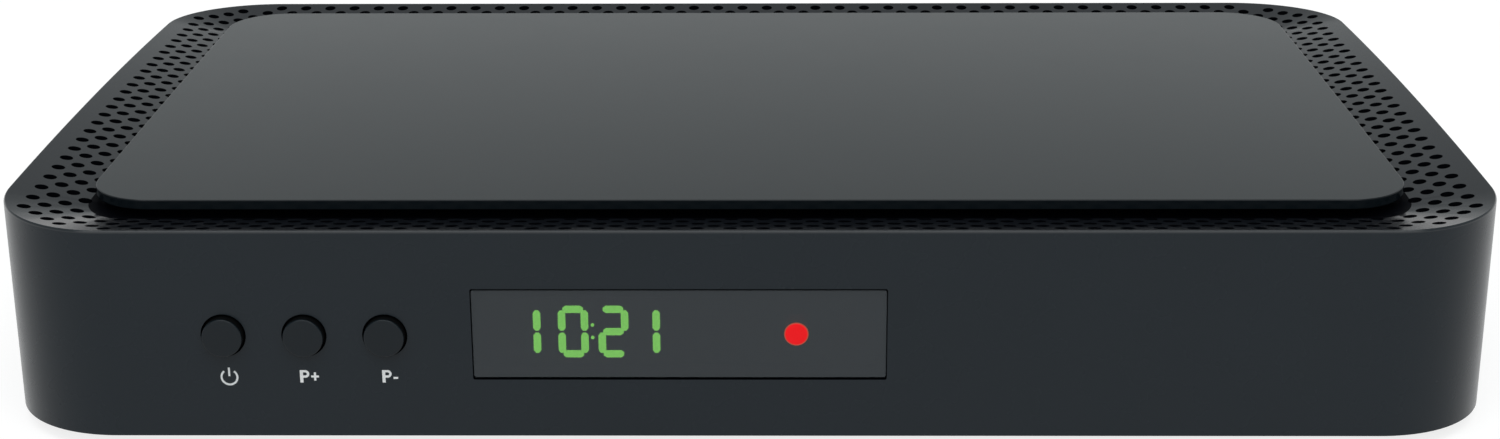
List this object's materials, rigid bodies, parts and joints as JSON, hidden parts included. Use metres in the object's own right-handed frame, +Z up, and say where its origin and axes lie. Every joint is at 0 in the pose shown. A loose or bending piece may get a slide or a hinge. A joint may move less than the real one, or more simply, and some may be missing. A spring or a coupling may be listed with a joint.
{
  "type": "satellite TV receiver",
  "caption": "Low dark satellite TV receiver with a perforated top ring round a floating plate, a smoked display window and round push buttons.",
  "frame": {"origin": "centre of the footprint, from the button faces to the tips of the aerial sockets, on the surface that the feet stand on", "axes": "+X to the right as seen from the front, +Y from the front face to the rear, +Z up"},
  "size_m": [0.22, 0.1464, 0.035],
  "materials": {
    "base_plastic": "matte",
    "board_laminate": "green solder mask",
    "button_plastic": "satin",
    "cable_film": "white film",
    "capacitor_sleeve": "shrink sleeve",
    "chip_epoxy": "black epoxy",
    "connector_nickel": "nickel plated",
    "display_body": "black epoxy",
    "ferrite": "ground ferrite",
    "foot_rubber": "matte",
    "housing_plastic": "satin, fine texture",
    "led_epoxy": "red epoxy",
    "panel_steel": "dark grey paint",
    "plate_plastic": "fine satin",
    "plunger_plastic": "moulded",
    "screw_steel": "black zinc",
    "sensor_epoxy": "dark epoxy",
    "sink_aluminium": "plain extruded",
    "socket_metal": "folded nickel plated sheet",
    "socket_nylon": "cream nylon",
    "socket_plastic": "black moulded",
    "standby_red": "red, clear",
    "switch_body": "moulded",
    "tin_plate": "tin plate",
    "vent_plastic": "satin",
    "window_smoke": "smoked, polished"
  },
  "bodies": {
    "housing": {"aerial_input_nut": "connector_nickel", "aerial_input_socket": "connector_nickel", "aerial_loop_nut": "connector_nickel", "aerial_loop_socket": "connector_nickel", "av_jack": "socket_plastic", "base": "base_plastic", "board_screw_front_left": "screw_steel", "board_screw_front_right": "screw_steel", "board_screw_rear_left": "screw_steel", "board_screw_rear_right": "screw_steel", "capacitor_1": "capacitor_sleeve", "capacitor_2": "capacitor_sleeve", "capacitor_3": "capacitor_sleeve", "channel_down_switch": "switch_body", "channel_up_switch": "switch_body", "decoder_chip": "chip_epoxy", "digital_audio_socket": "socket_plastic", "display_module": "display_body", "display_window": "window_smoke", "flash_chip": "chip_epoxy", "flat_cable": "cable_film", "foot_front_left": "foot_rubber", "foot_front_right": "foot_rubber", "foot_rear_left": "foot_rubber", "foot_rear_right": "foot_rubber", "front_board": "board_laminate", "front_cable_socket": "socket_nylon", "hdmi_socket": "socket_metal", "heat_sink": "sink_aluminium", "housing_screw_front_left": "screw_steel", "housing_screw_front_right": "screw_steel", "housing_screw_rear_left": "screw_steel", "housing_screw_rear_right": "screw_steel", "infrared_receiver": "sensor_epoxy", "main_board": "board_laminate", "main_cable_socket": "socket_nylon", "memory_chip": "chip_epoxy", "network_socket": "socket_metal", "power_inductor": "ferrite", "power_socket": "socket_plastic", "power_switch": "switch_body", "rear_panel": "panel_steel", "standby_led": "led_epoxy", "standby_lens": "standby_red", "top_plate": "plate_plastic", "tuner_can": "tin_plate", "upper_housing": "housing_plastic", "usb_socket": "socket_metal", "vent_panel": "vent_plastic"},
    "channel_down_button": {"channel_down_button": "button_plastic"},
    "channel_down_plunger": {"channel_down_plunger": "plunger_plastic"},
    "channel_up_button": {"channel_up_button": "button_plastic"},
    "channel_up_plunger": {"channel_up_plunger": "plunger_plastic"},
    "power_button": {"power_button": "button_plastic"},
    "power_plunger": {"power_plunger": "plunger_plastic"}
  },
  "joints": [
    {"name": "power_press", "type": "slide", "parent": "housing", "child": "power_button", "axis": [0, 1, 0], "range_m": [0, 0.0005], "stiffness_N_per_m": 800},
    {"name": "power_plunge", "type": "slide", "parent": "housing", "child": "power_plunger", "axis": [0, 1, 0], "range_m": [0, 0.0005]},
    {"name": "channel_up_press", "type": "slide", "parent": "housing", "child": "channel_up_button", "axis": [0, 1, 0], "range_m": [0, 0.0005], "stiffness_N_per_m": 800},
    {"name": "channel_up_plunge", "type": "slide", "parent": "housing", "child": "channel_up_plunger", "axis": [0, 1, 0], "range_m": [0, 0.0005]},
    {"name": "channel_down_press", "type": "slide", "parent": "housing", "child": "channel_down_button", "axis": [0, 1, 0], "range_m": [0, 0.0005], "stiffness_N_per_m": 800},
    {"name": "channel_down_plunge", "type": "slide", "parent": "housing", "child": "channel_down_plunger", "axis": [0, 1, 0], "range_m": [0, 0.0005]}
  ],
  "couplings": [
    {"joint": "power_plunge", "follows": "power_press", "ratio": 1},
    {"joint": "channel_up_plunge", "follows": "channel_up_press", "ratio": 1},
    {"joint": "channel_down_plunge", "follows": "channel_down_press", "ratio": 1}
  ]
}
